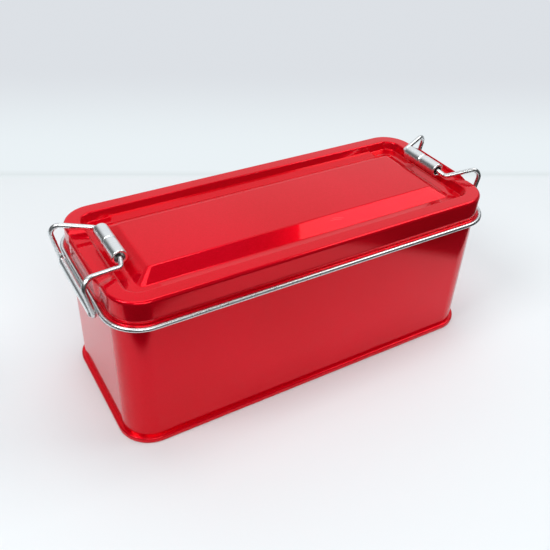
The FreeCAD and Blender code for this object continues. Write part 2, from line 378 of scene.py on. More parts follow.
@dataclass(frozen=True)
class RedLacquer:
    """Transparent red lacquer over tinplate, with a fine metallic grain and a gloss coat.

    Attributes:
        deep: Colour in the darker grains.
        bright: Colour in the lighter grains.
        metal: Share of the tinplate that shows through.
        roughness: Blur of the tinplate under the lacquer, least and most.
        grain_mm: Size of the metallic grains.
        grain_tone: Share of the bright colour that the grains give.
        cloud_scale: Frequency of the broad clouds, per metre.
        cloud_tone: Share of the bright colour that the clouds add.
        coat_roughness: Blur of the gloss coat.
        coat_ior: Refraction of the gloss coat.
        peel_mm: Size of the ripples in the coat.
        peel_depth_mm: Height of the ripples.
        scratch_share: How much of the scratch tint a scratch takes.
        scratches: Scratches through the coat.
    """

    name: str = "red_lacquer"
    deep: Colour = (0.65, 0.001, 0.007, 1.0)
    bright: Colour = (0.80, 0.002, 0.018, 1.0)
    metal: float = 0.47
    roughness: Pair = (0.12, 0.22)
    grain_mm: float = 0.45
    grain_tone: Pair = (-0.2, 0.75)
    cloud_scale: float = 18.0
    cloud_tone: Pair = (0.0, 0.45)
    coat_roughness: float = 0.03
    coat_ior: float = 1.24
    peel_mm: float = 2.2
    peel_depth_mm: float = 0.06
    scratch_tint: Colour = (0.9, 0.5, 0.5, 1.0)
    scratch_share: float = 0.16
    scratches: tuple[Scratch, ...] = (
        Scratch(centre=(-79.5, -11.5, 0.0), radius=4.2, width=0.16, facing=(-0.8, 0.6, 0.0), reach=0.35),
        Scratch(centre=(14.0, -37.5, 0.0), radius=16.6, width=0.1, facing=(0.12, 0.99, 0.0), reach=0.98),
        Scratch(centre=(14.0, -37.5, 0.0), radius=17.3, width=0.1, facing=(0.2, 0.98, 0.0), reach=0.985),
    )

    def make(self) -> Material:
        """Build the material.

        Returns:
            The lacquer.
        """
        material, board, shader = blank_finish(self.name)
        grain = board.grain(self.grain_mm, detail=3.0)
        grain_tone = board.spread(grain, self.grain_tone)
        cloud_tone = board.spread(board.noise((self.cloud_scale,) * 3, detail=1.0), self.cloud_tone)
        tone = board.maths("ADD", grain_tone, cloud_tone, clamp=True)
        colour = board.blend(tone, self.deep, self.bright)
        for scratch in self.scratches:
            share = board.maths("MULTIPLY", scratch.mask(board), self.scratch_share)
            colour = board.blend(share, colour, self.scratch_tint)
        board.wire(colour, shader.inputs["Base Color"])
        board.wire(board.spread(grain, self.roughness), shader.inputs["Roughness"])
        shader.inputs["Metallic"].default_value = self.metal
        shader.inputs["Specular IOR Level"].default_value = 0.0
        shader.inputs["Coat Weight"].default_value = 1.0
        shader.inputs["Coat Roughness"].default_value = self.coat_roughness
        shader.inputs["Coat IOR"].default_value = self.coat_ior
        ripple = board.grain(self.peel_mm, detail=1.0)
        board.wire(board.bump(ripple, self.peel_depth_mm), shader.inputs["Coat Normal"])
        return material


@dataclass(frozen=True)
class Plating:
    """Plated steel with fine marks and cloudy stains.

    Attributes:
        pale: Colour of the clean plating.
        dull: Colour of the marks and stains.
        roughness: Blur of the plating, least and most.
        mark_scale: Frequency of the marks along each axis, per metre.
        mark_detail: Number of finer octaves of the marks.
        mark_tone: Share of the dull colour that the marks give.
        stain_scale: Frequency of the stains, per metre.
        stain_tone: Share of the dull colour that the stains add.
        depth_mm: Height of the marks.
    """

    name: str
    pale: Colour
    dull: Colour
    roughness: Pair
    mark_scale: Triple
    mark_detail: float
    mark_tone: Pair = (0.0, 1.0)
    stain_scale: float = 260.0
    stain_tone: Pair = (0.0, 0.0)
    depth_mm: float = 0.02

    def make(self) -> Material:
        """Build the material.

        Returns:
            The plating.
        """
        material, board, shader = blank_finish(self.name)
        marks = board.noise(self.mark_scale, self.mark_detail)
        mark_tone = board.spread(marks, self.mark_tone)
        stain_tone = board.spread(board.noise((self.stain_scale,) * 3, detail=2.0), self.stain_tone)
        tone = board.maths("ADD", mark_tone, stain_tone, clamp=True)
        board.wire(board.blend(tone, self.pale, self.dull), shader.inputs["Base Color"])
        board.wire(board.spread(marks, self.roughness), shader.inputs["Roughness"])
        shader.inputs["Metallic"].default_value = 1.0
        board.wire(board.bump(marks, self.depth_mm), shader.inputs["Normal"])
        return material


# Spring wire with drawing marks 1.1 mm apart, and rolled tube with turning lines 0.22 mm apart round it
BRIGHT_WIRE = Plating(
    name="bright_wire",
    pale=(0.76, 0.78, 0.78, 1.0),
    dull=(0.66, 0.69, 0.70, 1.0),
    roughness=(0.24, 0.35),
    mark_scale=(1.0 / (1.1 * MM),) * 3,
    mark_detail=3.0,
)
SATIN_TUBE = Plating(
    name="satin_tube",
    pale=(0.90, 0.92, 0.92, 1.0),
    dull=(0.78, 0.81, 0.82, 1.0),
    roughness=(0.24, 0.36),
    mark_scale=(60.0, 1.0 / (0.22 * MM), 60.0),
    mark_detail=2.0,
    mark_tone=(0.0, 0.6),
    stain_tone=(0.0, 0.4),
)


# --- Shop tools ---


def put(name: str, data: bpy.types.ID) -> bpy.types.Object:
    """Put an object into the scene.

    Args:
        name: Name of the object.
        data: Its mesh, lamp or camera.

    Returns:
        The object.
    """
    thing = bpy.data.objects.new(name, data)
    bpy.context.scene.collection.objects.link(thing)
    return thing


def finish_piece(
    name: str, mesh: Mesh, material: Material, nodes: tuple[str, ...],
    sharp_angle: float = 50.0,
) -> bpy.types.Object:
    """Turn a millimetre mesh into a piece that rides on the frame and stands for its nodes.

    Args:
        name: Name of the piece.
        mesh: Its mesh in millimetres, which is freed.
        material: Its finish.
        nodes: Nodes of the frame it stands for.
        sharp_angle: Angle in degrees past which an edge stays sharp.

    Returns:
        The finished object.
    """
    bmesh.ops.remove_doubles(mesh, verts=mesh.verts[:], dist=0.0005)
    bmesh.ops.recalc_face_normals(mesh, faces=mesh.faces[:])
    bmesh.ops.scale(mesh, vec=(MM, MM, MM), verts=mesh.verts[:])
    data = bpy.data.meshes.new(name)
    mesh.to_mesh(data)
    mesh.free()
    data.shade_smooth()
    data.set_sharp_from_angle(angle=math.radians(sharp_angle))
    data.materials.append(material)
    piece = put(name, data)
    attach(piece, "root")
    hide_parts(*nodes)
    log.info("%s: %d faces", name, len(data.polygons))
    return piece


def weigh_normals(piece: bpy.types.Object) -> None:
    """Let the flats rule the shading, so that they stay flat beside their rounds."""
    modifier = piece.modifiers.new("flats", "WEIGHTED_NORMAL")
    modifier.keep_sharp = True
    modifier.weight = 50


def draw_on(mesh: Mesh, edges: Edges) -> tuple[list[bmesh.types.BMVert], Edges]:
    """Extrude a loop of edges where it stands.

    Args:
        mesh: Mesh of the loop.
        edges: The loop.

    Returns:
        Corners and edges of the new loop.
    """
    drawn = bmesh.ops.extrude_edge_only(mesh, edges=edges)["geom"]
    verts = [part for part in drawn if isinstance(part, bmesh.types.BMVert)]
    return verts, [part for part in drawn if isinstance(part, bmesh.types.BMEdge)]


@dataclass
class SheetPress:
    """Works a rounded-rectangle outline up through a section, one ring of metal at a time.

    Attributes:
        outline: Outline at no offset.
        facets: Flats round each corner.
    """

    outline: Outline
    facets: int = 20
    mesh: Mesh = field(default_factory=bmesh.new)
    loop: Edges = field(default_factory=list)

    def blank(self, inset: float, corner: float, height: float) -> bmesh.types.BMFace:
        """Cut a flat rounded blank.

        Args:
            inset: How far its sides lie inside the outline.
            corner: Corner radius.
            height: Height it lies at.

        Returns:
            The blank's face.
        """
        made = bmesh.ops.create_grid(self.mesh, x_segments=1, y_segments=1, size=1.0)
        verts = made["verts"]
        for vert in verts:
            vert.co.x = math.copysign(self.outline.half_length - inset, vert.co.x)
            vert.co.y = math.copysign(self.outline.half_width - inset, vert.co.y)
            vert.co.z = height
        before = set(self.mesh.faces) - set(verts[0].link_faces)
        bmesh.ops.bevel(
            self.mesh,
            geom=verts,
            offset=corner,
            offset_type="OFFSET",
            segments=self.facets,
            profile=0.5,
            affect="VERTICES",
            material=-1,
        )
        return next(face for face in self.mesh.faces if face not in before)

    def ring(self, inset: float, corner: float, height: float) -> Edges:
        """Cut an open ring, which is a blank without its face.

        Args:
            inset: How far inside the outline it lies.
            corner: Corner radius.
            height: Height it lies at.

        Returns:
            The ring's edges.
        """
        face = self.blank(inset, corner, height)
        edges = list(face.edges)
        bmesh.ops.delete(self.mesh, geom=[face], context="FACES_ONLY")
        return edges

    def start(self, inset: float, height: float) -> None:
        """Start the section with an open ring parallel to the outline."""
        self.loop = self.ring(inset, self.outline.corner - inset, height)

    def step(self, inward: float, rise: float) -> Edges:
        """Draw the ring on by one step of the section.

        Args:
            inward: Distance towards the middle, square to the wall.
            rise: Distance up.

        Returns:
            The new ring's edges.
        """
        verts, self.loop = draw_on(self.mesh, self.loop)
        core_x = self.outline.half_length - self.outline.corner
        core_y = self.outline.half_width - self.outline.corner
        for vert in verts:
            core = vert.co.copy()
            core.x = max(-core_x, min(core_x, core.x))
            core.y = max(-core_y, min(core_y, core.y))
            outward = (vert.co - core).normalized()
            vert.co += UP * rise - outward * inward
        return self.loop

    def round(self, edges: Edges, width: float, segments: int) -> None:
        """Round a loop of edges.

        Args:
            edges: Edges to round.
            width: How far the round reaches from the edge on each side.
            segments: Number of flats round the bend.
        """
        bmesh.ops.bevel(
            self.mesh,
            geom=[edge for edge in edges if edge.is_valid],
            offset=width,
            offset_type="OFFSET",
            segments=segments,
            profile=0.5,
            affect="EDGES",
            clamp_overlap=True,
            material=-1,
        )

    def cap(self) -> None:
        """Close the section with a flat face."""
        bmesh.ops.edgeloop_fill(self.mesh, edges=self.loop)


@dataclass
class WireBender:
    """Draws a round wire along straight runs and bends.

    Attributes:
        radius: Radius of the wire.
        facets: Flats round the wire.
        bend_step: Largest turn of one step round a bend, in degrees.
    """

    radius: float
    facets: int = 20
    bend_step: float = 6.0
    mesh: Mesh = field(default_factory=bmesh.new)
    ring: Edges = field(default_factory=list)
    point: Vector = field(default_factory=Vector)

    def start(self, point: Vector, along: Vector) -> None:
        """Begin the wire with an open ring.

        Args:
            point: Where the wire starts.
            along: Direction it leaves in.
        """
        turn = along.to_track_quat("Z", "Y").to_matrix().to_4x4()
        place = Matrix.Translation(point) @ turn
        made = bmesh.ops.create_circle(
            self.mesh, cap_ends=False, segments=self.facets, radius=self.radius, matrix=place
        )
        verts = set(made["verts"])
        self.ring = [edge for edge in self.mesh.edges if set(edge.verts) <= verts]
        self.point = point.copy()

    def run(self, end: Vector) -> None:
        """Draw the wire straight on.

        Args:
            end: Point it is drawn to.
        """
        verts, self.ring = draw_on(self.mesh, self.ring)
        bmesh.ops.translate(self.mesh, vec=end - self.point, verts=verts)
        self.point = end.copy()

    def bend(self, centre: Vector, axis: Vector, angle: float) -> None:
        """Turn the wire round an axis.

        Args:
            centre: Point on the axis.
            axis: Direction of the axis.
            angle: Turn in radians.
        """
        steps = max(2, math.ceil(math.degrees(abs(angle)) / self.bend_step))
        drawn = bmesh.ops.spin(
            self.mesh, geom=self.ring, cent=centre, axis=axis, dvec=Vector(), angle=angle, steps=steps,
            use_duplicate=False,
        )
        self.ring = [part for part in drawn["geom_last"] if isinstance(part, bmesh.types.BMEdge)]
        self.point = Matrix.Rotation(angle, 3, axis) @ (self.point - centre) + centre

    def follow(self, corners: list[Vector], bends: list[float]) -> None:
        """Draw the wire through corners, each inner one rounded by its bend.

        Args:
            corners: Corner points from start to end.
            bends: Centreline radius at each inner corner.
        """
        self.start(corners[0], corners[1] - corners[0])
        for before, corner, after, radius in zip(corners, corners[1:], corners[2:], bends):
            back = (before - corner).normalized()
            ahead = (after - corner).normalized()
            half_angle = back.angle(ahead) / 2.0
            reach = radius / math.tan(half_angle)
            self.run(corner + back * reach)
            centre = corner + (back + ahead).normalized() * (radius / math.sin(half_angle))
            self.bend(centre, (-back).cross(ahead).normalized(), math.pi - 2.0 * half_angle)
        self.run(corners[-1])


@dataclass
class Lathe:
    """Turns a tube section round an axis that runs across the tin."""

    facets: int = 56
    mesh: Mesh = field(default_factory=bmesh.new)

    def turn(self, section: list[Pair], axis_x: float, axis_z: float) -> None:
        """Spin a closed section.

        Args:
            section: Radius and place along the axis of each corner of the section.
            axis_x: Distance of the axis from the middle.
            axis_z: Height of the axis.
        """
        verts = [self.mesh.verts.new((axis_x, along, axis_z + radius)) for radius, along in section]
        edges = [self.mesh.edges.new((a, b)) for a, b in zip(verts, verts[1:] + verts[:1])]
        bmesh.ops.spin(
            self.mesh, geom=verts + edges, cent=(axis_x, 0.0, axis_z), axis=ACROSS, dvec=Vector(),
            angle=math.tau, steps=self.facets, use_merge=True, use_duplicate=False,
        )


# --- Lid ---


@dataclass
class PressedLid:
    """Slip-over lid: rim, channel, plateau level with the rim, two ledges and a seat at each end.

    All sizes are in millimetres. A field that ends in lines says where, or in how many steps, the sheet is
    divided so that a ledge, seat or swell can be shaped in it. One that ends in line_in says how far in the
    lines start or reach.
    """

    finish: Material
    outline: Outline
    sheet: float = 0.6
    edge_round: float = 1.5
    hem_height: float = 0.9
    rim_width: float = 7.4
    rim_inner_round: float = 0.7
    recess_depth: float = 4.0
    wall_run: float = 1.5
    wall_foot_round: float = 0.5
    channel_floor: float = 5.6
    slope_run: float = 7.3
    plateau_corner: float = 1.6
    plateau_foot_corner: float = 3.2
    plateau_edge_round: float = 0.6
    plateau_foot_round: float = 0.5
    ledge_end_gap: float = 14.6
    ledge_rise: float = 1.0
    ledge_end_slope: float = 1.1
    ledge_lines: int = 12
    ledge_line_in: float = 3.0
    ledge_line_gap: float = 0.45
    seat_length: float = 45.6
    seat_depth: float = 2.0
    seat_ramp_run: float = 4.8
    seat_narrowing: float = 3.4
    seat_lip: float = 1.1
    seat_wall_run: float = 0.9
    seat_foot_ease: float = 0.16
    seat_corner_ease: float = 0.25
    seat_line_in: float = 0.6
    seat_wall_lines: tuple[float, ...] = (-0.8, -0.4, -0.2, 0.0, 0.2, 0.45)
    seat_foot_lines: tuple[float, ...] = (-0.9, -0.6, -0.3, 0.0, 0.3, 0.6, 0.9, 1.6, 2.6, 3.6)
    seat_crease_lines: tuple[float, ...] = (-0.4, -0.2, 0.0, 0.2)
    swell_flat: float = 30.0
    swell_run: float = 6.0
    swell_lines: int = 10
    swell_line_in: float = 1.6
    level_slack: float = 0.01

    def __post_init__(self) -> None:
        """Take the heights from the frame, and set up the press."""
        extent = Extent.of("lid")
        self.skirt_bottom = extent.low.z
        self.top = extent.high.z
        self.floor = self.top - self.recess_depth
        self.wall_foot = self.rim_width + self.wall_run
        self.seat_lean = self.seat_narrowing / self.rim_width
        self.ledge_end = self.outline.half_length - self.rim_width - self.ledge_end_gap
        self.press = SheetPress(self.outline)

    def press_outside(self) -> None:
        """Draw the hem, skirt, rim and recess wall, and bridge them to the plateau."""
        press, hem_proud = self.press, self.outline.hem_proud
        press.start(-hem_proud, self.skirt_bottom)
        hem_top = press.step(0.0, self.hem_height)
        press.step(hem_proud, 0.0)
        outer_edge = press.step(0.0, self.top - self.skirt_bottom - self.hem_height)
        inner_edge = press.step(self.rim_width, 0.0)
        wall_foot = press.step(self.wall_run, -self.recess_depth)

        foot_inset = self.wall_foot + self.channel_floor
        foot_loop = press.ring(foot_inset, self.plateau_foot_corner, self.floor)
        plateau = press.blank(foot_inset + self.slope_run, self.plateau_corner, self.top)
        top_loop = list(plateau.edges)
        bmesh.ops.bridge_loops(press.mesh, edges=wall_foot + foot_loop)
        bmesh.ops.bridge_loops(press.mesh, edges=foot_loop + top_loop)

        bmesh.ops.recalc_face_normals(press.mesh, faces=press.mesh.faces[:])
        for edges, width, segments in (
            (hem_top, hem_proud * 0.8, 3),
            (outer_edge, self.edge_round, 8),
            (inner_edge, self.rim_inner_round, 5),
            (wall_foot, self.wall_foot_round, 4),
            (foot_loop, self.plateau_foot_round, 3),
            (top_loop, self.plateau_edge_round, 4),
        ):
            press.round(edges, width, segments)

    def line(self, point: Vector, normal: Vector, beyond: float | None = None) -> None:
        """Lay one straight line across the sheet.

        Args:
            point: Point on the line.
            normal: Direction square to the line.
            beyond: Distance from the middle, on the point's side, past which a face has to lie wholly to
                take the line. Without it every face takes it.
        """
        mesh = self.press.mesh
        faces = mesh.faces[:]
        if beyond is not None:
            side = math.copysign(1.0, point.x)
            faces = [face for face in faces if all(vert.co.x * side >= beyond for vert in face.verts)]
        edges = {edge for face in faces for edge in face.edges}
        verts = {vert for face in faces for vert in face.verts}
        geometry = list(verts) + list(edges) + faces
        bmesh.ops.bisect_plane(mesh, geom=geometry, dist=0.0001, plane_co=point, plane_no=normal.normalized())

    def lay_ledge_lines(self) -> None:
        """Lay the lines that the ledges' ends are shaped along."""
        for side in (1.0, -1.0):
            for step in range(self.ledge_lines):
                place = self.ledge_end - self.ledge_line_in + step * self.ledge_line_gap
                self.line(ALONG * (side * place), ALONG)

    def lay_seat_lines(self) -> None:
        """Lay the lines that the seats' ramps, walls and swells are shaped along."""
        half_length = self.outline.half_length
        beyond = half_length - self.wall_foot - self.seat_line_in
        crease = self.seat_length / 2.0
        foot = crease - self.seat_ramp_run
        ramp = [foot + shift for shift in self.seat_foot_lines]
        ramp += [crease + shift for shift in self.seat_crease_lines]
        steps = range(self.swell_lines + 1)
        swell = [self.swell_flat / 2.0 + self.swell_run * step / self.swell_lines for step in steps]
        lip = half_length + self.outline.swell_out - self.seat_lip
        wall_foot = lip - self.seat_wall_run
        for end in (1.0, -1.0):
            for shift in self.seat_wall_lines:
                place = end * (wall_foot + shift - self.outline.swell_out)
                self.line(ALONG * place, ALONG, beyond)
            for side in (1.0, -1.0):
                leaning = Vector((-end * side * self.seat_lean, 1.0, 0.0))
                cuts = [(place, ACROSS, half_length - self.swell_line_in) for place in swell]
                cuts += [(place, leaning, beyond) for place in ramp]
                for place, normal, limit in cuts:
                    self.line(Vector((end * half_length, side * place, 0.0)), normal, limit)

    @staticmethod
    def ease(value: float) -> float:
        """Smooth step from 0 to 1."""
        held = max(0.0, min(1.0, value))
        return held * held * (3.0 - 2.0 * held)

    def swell_ends(self) -> None:
        """Push the end walls out beside the seats."""
        reach = self.swell_flat / 2.0 + self.swell_run
        for vert in self.press.mesh.verts:
            depth_in = self.outline.half_length - abs(vert.co.x)
            if depth_in <= self.rim_width / 2.0:
                share = self.ease((reach - abs(vert.co.y)) / self.swell_run)
                vert.co.x += math.copysign(self.outline.swell_out * share, vert.co.x)

    def seat_height(self, place: Vector) -> float:
        """Height of the seat's floor, ramp or wall over a place.

        Args:
            place: Point of the sheet.

        Returns:
            Height of the pressed surface, which may lie above the sheet.
        """
        depth_in = self.outline.half_length - abs(place.x)
        crease = self.seat_length / 2.0 - self.seat_lean * depth_in
        lip = self.outline.swell_out - self.seat_lip
        ramp = 1.0 + (abs(place.y) - crease) / self.seat_ramp_run
        wall = 1.0 - (lip + depth_in) / self.seat_wall_run
        rise = max(ramp, wall)
        gap = abs(ramp - wall)
        ease = self.seat_corner_ease
        if gap < ease:
            rise += (ease - gap) ** 2 / (4.0 * ease)
        ease = self.seat_foot_ease
        if abs(rise) < ease:
            rise = (rise + ease) ** 2 / (4.0 * ease)
        return self.top - self.seat_depth * (1.0 - max(0.0, rise))

    def press_seats(self) -> None:
        """Press a seat for the clasp wires into both ends of the rim."""
        for vert in self.press.mesh.verts:
            depth_in = self.outline.half_length - abs(vert.co.x)
            if depth_in < self.wall_foot and vert.co.z > self.floor + self.wall_foot_round:
                vert.co.z = min(vert.co.z, self.seat_height(vert.co))

    def press_ledges(self) -> None:
        """Raise the two long shallow ledges in the channel floor."""
        outer = self.outline.half_width - self.rim_width
        inner = outer - self.wall_run - self.channel_floor
        for vert in self.press.mesh.verts:
            side = abs(vert.co.y)
            height = vert.co.z - self.floor
            if inner <= side <= outer and -self.level_slack <= height <= self.ledge_rise:
                level = self.ledge_rise * (side - inner) / (outer - inner)
                share = self.ease((self.ledge_end - abs(vert.co.x)) / self.ledge_end_slope)
                vert.co.z = max(vert.co.z, self.floor + level * share)

    def build(self) -> None:
        """Build the lid."""
        self.press_outside()
        self.lay_ledge_lines()
        self.lay_seat_lines()
        self.press_ledges()
        self.swell_ends()
        self.press_seats()
        piece = finish_piece("lid_sheet", self.press.mesh, self.finish, ("lid",))
        wall = piece.modifiers.new("sheet", "SOLIDIFY")
        wall.thickness = self.sheet * MM
        wall.offset = -1.0
        wall.use_even_offset = True
        weigh_normals(piece)


# --- Body ---


@dataclass
class TinBody:
    """Wall of the tin from the base seam up into the lid, with the bead that carries the ring."""

    finish: Material
    outline: Outline
    inset: float = 0.8
    bead_out: float = 1.07
    bead_height: float = 3.4
    bead_round: float = 0.8
    lid_gap: float = 0.1
    neck_height: float = 5.5

    def build(self) -> None:
        """Build the body."""
        lid = Extent.of("lid")
        body = Extent.of("tin_body")
        press = SheetPress(self.outline)
        bead_top = lid.low.z - self.lid_gap
        bead_bottom = bead_top - self.bead_height
        reach = self.inset + self.bead_out
        press.start(self.inset, body.low.z)
        press.cap()
        press.step(0.0, bead_bottom - body.low.z)
        lower = press.step(-reach, 0.0)
        upper = press.step(0.0, self.bead_height)
        press.step(reach, 0.0)
        press.step(0.0, self.neck_height)
        press.cap()
        for edge in (lower, upper):
            press.round(edge, self.bead_round, segments=4)
        piece = finish_piece("tin_wall", press.mesh, self.finish, ("tin_body",))
        weigh_normals(piece)


@dataclass
class BaseSeam:
    """Rolled seam that the tin stands on, with the base panel raised inside it."""

    finish: Material
    outline: Outline
    wall_inset: float = 0.8
    proud: float = 1.8
    outer_round: float = 0.9
    flange: float = 3.4
    panel_raise: float = 1.1
    flange_round: float = 0.4

    def build(self) -> None:
        """Build the seam and the base panel."""
        seam = Extent.of("base_seam")
        press = SheetPress(self.outline)
        height = seam.high.z - seam.low.z
        press.start(self.wall_inset, seam.high.z)
        press.cap()
        top_edge = press.step(-self.proud, 0.0)
        bottom_edge = press.step(0.0, -height)
        flange_edge = press.step(self.flange, 0.0)
        panel_edge = press.step(self.panel_raise / 2.0, self.panel_raise)
        press.cap()
        for edge in (top_edge, bottom_edge):
            press.round(edge, self.outer_round, segments=5)
        for edge in (flange_edge, panel_edge):
            press.round(edge, self.flange_round, segments=3)
        piece = finish_piece("base_end", press.mesh, self.finish, ("base_seam",))
        weigh_normals(piece)


# --- Wire work ---


@dataclass
class NeckRing:
    """Wire ring that lies on the bead under the lid's skirt."""

    finish: Material
    outline: Outline

    def build(self) -> None:
        """Build the ring."""
        ring = Extent.of("neck_ring")
        radius = ring.span.z / 2.0
        half_x = ring.high.x - radius
        half_y = ring.high.y - radius
        corner = self.outline.corner + half_x - self.outline.half_length
        level = ring.middle.z
        bender = WireBender(radius, facets=24, bend_step=4.0)
        start = Vector((0.0, -half_y, level))
        bender.start(start, ALONG)
        for side_x, side_y in ((1, -1), (1, 1), (-1, 1), (-1, -1)):
            centre = Vector((side_x * (half_x - corner), side_y * (half_y - corner), level))
            enter = ACROSS * side_y if side_x == -side_y else ALONG * side_x
            bender.run(centre + enter * corner)
            bender.bend(centre, UP, math.pi / 2.0)
        bender.run(start)
        finish_piece("neck_wire", bender.mesh, self.finish, ("neck_ring",))


@dataclass
class Clasp:
    """Wire clasp at one end: bent wire, crimped roller tube and hinge sleeve.

    All sizes are in millimetres.

    Attributes:
        ferrule_roll: Radius of the tube's rolled mouth.
        ferrule_facets: Flats round the rolled mouth.
        crimp_side: Depth, and distance past the crimp's edge, of each corner of its side.
        sleeve_edge: Chamfer of the sleeve's mouth.
    """

    end: End
    outline: Outline
    wire_finish: Material
    tube_finish: Material
    wire: float = 2.3
    top_out: float = 7.8
    top_above_rim: float = 5.5
    leg_spread: float = 45.0
    top_bend: float = 4.2
    sleeve_bend: float = 1.9
    elbow_bend: float = 2.4
    elbow_spread: float = 32.6
    elbow_above_rim: float = 1.9
    end_gap: float = 5.0
    ferrule_wall: float = 0.7
    ferrule_bore_depth: float = 7.5
    ferrule_roll: float = 0.6
    ferrule_facets: int = 8
    crimp_width: float = 1.2
    crimp_side: tuple[Pair, ...] = ((0.3, -0.35), (0.18, -0.1), (0.08, 0.1), (0.0, 0.4))
    sleeve_bore: float = 3.0
    sleeve_mouth_depth: float = 3.0
    sleeve_edge: float = 0.12
    wire_fit: float = 0.05

    def __post_init__(self) -> None:
        """Take the places of the tubes and the lid's top from the frame."""
        self.lid_top = Extent.of("lid").high.z
        self.ferrule = Extent.of("ferrule" + self.end.node_suffix)
        self.sleeve = Extent.of("hinge_sleeve" + self.end.node_suffix)

    def corners(self) -> list[Vector]:
        """Corner points of half the wire.

        Returns:
            The points, from the wire's middle in the roller tube to its end in the sleeve.
        """
        side = self.end.value
        ferrule, sleeve = self.ferrule.middle, self.sleeve.middle
        elbow_x = ferrule.x + side * self.wire / 2.0
        top_x = side * (self.outline.half_length + self.top_out)
        leg_y = self.leg_spread / 2.0
        return [
            Vector((ferrule.x, 0.0, ferrule.z)),
            Vector((ferrule.x, self.ferrule.span.y / 2.0, ferrule.z)),
            Vector((elbow_x, self.elbow_spread / 2.0, self.lid_top + self.elbow_above_rim)),
            Vector((top_x, leg_y, self.lid_top + self.top_above_rim)),
            Vector((sleeve.x, leg_y, sleeve.z)),
            Vector((sleeve.x, self.end_gap / 2.0, sleeve.z)),
        ]

    def build_wire(self) -> None:
        """Bend half the wire and mirror it."""
        bender = WireBender(self.wire / 2.0)
        bender.follow(self.corners(), [self.elbow_bend, self.elbow_bend, self.top_bend, self.sleeve_bend])
        bmesh.ops.edgeloop_fill(bender.mesh, edges=bender.ring)
        geometry = bender.mesh.verts[:] + bender.mesh.edges[:] + bender.mesh.faces[:]
        bmesh.ops.mirror(bender.mesh, geom=geometry, matrix=Matrix.Identity(4), axis="Y", merge_dist=0.001)
        name = "bail" + self.end.node_suffix
        finish_piece(name + "_wire", bender.mesh, self.wire_finish, (name,))

    def turn_tube(self, kind: str, extent: Extent, right: list[Pair]) -> None:
        """Turn one tube, whose left half mirrors its right.

        Args:
            kind: What the frame calls the tube, without its end.
            extent: Extent of the tube in the frame.
            right: Radius and place along the axis of each corner of the section, from mid length outward.
        """
        lathe = Lathe()
        section = right + [(reach, -place) for reach, place in reversed(right[1:])]
        lathe.turn(section, extent.middle.x, extent.middle.z)
        name = kind + self.end.node_suffix
        piece = finish_piece(
            name + "_tube", lathe.mesh, self.tube_finish, (name,), TUBE_SHARP_ANGLE
        )
        weigh_normals(piece)

    def build_ferrule(self) -> None:
        """Turn the crimped roller tube with its rolled mouths."""
        radius = self.ferrule.span.z / 2.0
        half = self.ferrule.span.y / 2.0
        bore = radius - self.ferrule_wall
        tight = self.wire / 2.0 + self.wire_fit
        roll = self.ferrule_roll
        crimp = [(radius - depth, self.crimp_width / 2.0 + shift) for depth, shift in self.crimp_side]
        turns = [math.pi * step / self.ferrule_facets for step in range(self.ferrule_facets + 1)]
        centre = (radius - roll, half - roll)
        lip = [(centre[0] + roll * math.cos(turn), centre[1] + roll * math.sin(turn)) for turn in turns]
        right = [
            (crimp[0][0], 0.0),
            *crimp,
            *lip,
            (bore, half - 2.0 * roll),
            (bore, half - self.ferrule_bore_depth),
            (tight, half - self.ferrule_bore_depth),
        ]
        self.turn_tube("ferrule", self.ferrule, right)

    def build_sleeve(self) -> None:
        """Turn the hinge sleeve."""
        radius = self.sleeve.span.z / 2.0
        half = self.sleeve.span.y / 2.0
        bore = self.sleeve_bore / 2.0
        tight = self.wire / 2.0 + self.wire_fit
        right = [
            (radius, 0.0),
            (radius, half - self.sleeve_edge),
            (radius - self.sleeve_edge, half),
            (bore + self.sleeve_edge, half),
            (bore, half - self.sleeve_edge),
            (bore, half - self.sleeve_mouth_depth),
            (tight, half - self.sleeve_mouth_depth),
        ]
        self.turn_tube("hinge_sleeve", self.sleeve, right)

    def build(self) -> None:
        """Build the whole clasp."""
        self.build_wire()
        self.build_ferrule()
        self.build_sleeve()


# --- Studio ---


@dataclass(frozen=True)
class SoftBox:
    """Rectangular soft lamp that faces the tin.

    Attributes:
        name: Name of the lamp.
        place: Where it hangs, metres.
        size: Its width and height, metres.
        power: Its power in watts.
        target: Point it faces.
    """

    name: str
    place: Triple
    size: Pair
    power: float
    target: Triple = (0.0, 0.0, 0.04)

    def hang(self) -> None:
        """Hang the lamp."""
        data = bpy.data.lights.new(self.name, "AREA")
        data.shape = "RECTANGLE"
        data.size, data.size_y = self.size
        data.energy = self.power
        lamp = put(self.name, data)
        lamp.location = self.place
        lamp.rotation_mode = "QUATERNION"
        lamp.rotation_quaternion = (Vector(self.target) - Vector(self.place)).to_track_quat("-Z", "Y")


@dataclass(frozen=True)
class StudioCamera:
    """Camera over the near left corner of the tin.

    Attributes:
        place: Where it stands, metres.
        azimuth: Turn of its aim from +Y towards +X, degrees.
        dip: Angle of its aim below level, degrees.
        roll: Turn about its aim, degrees.
        lens: Focal length on a 36 mm sensor.
    """

    place: Triple = (-0.1539, -0.2401, 0.2510)
    azimuth: float = 32.22
    dip: float = 36.74
    roll: float = 3.09
    lens: float = 45.47

    def stand(self) -> None:
        """Stand the camera and make it the scene's own."""
        data = bpy.data.cameras.new("studio_camera")
        data.lens = self.lens
        data.sensor_width = 36.0
        camera = put("studio_camera", data)
        turn = Matrix.Rotation(math.radians(-self.azimuth), 4, "Z")
        tilt = Matrix.Rotation(math.radians(90.0 - self.dip), 4, "X")
        roll = Matrix.Rotation(math.radians(self.roll), 4, "Z")
        camera.matrix_world = Matrix.Translation(self.place) @ turn @ tilt @ roll
        bpy.context.scene.camera = camera


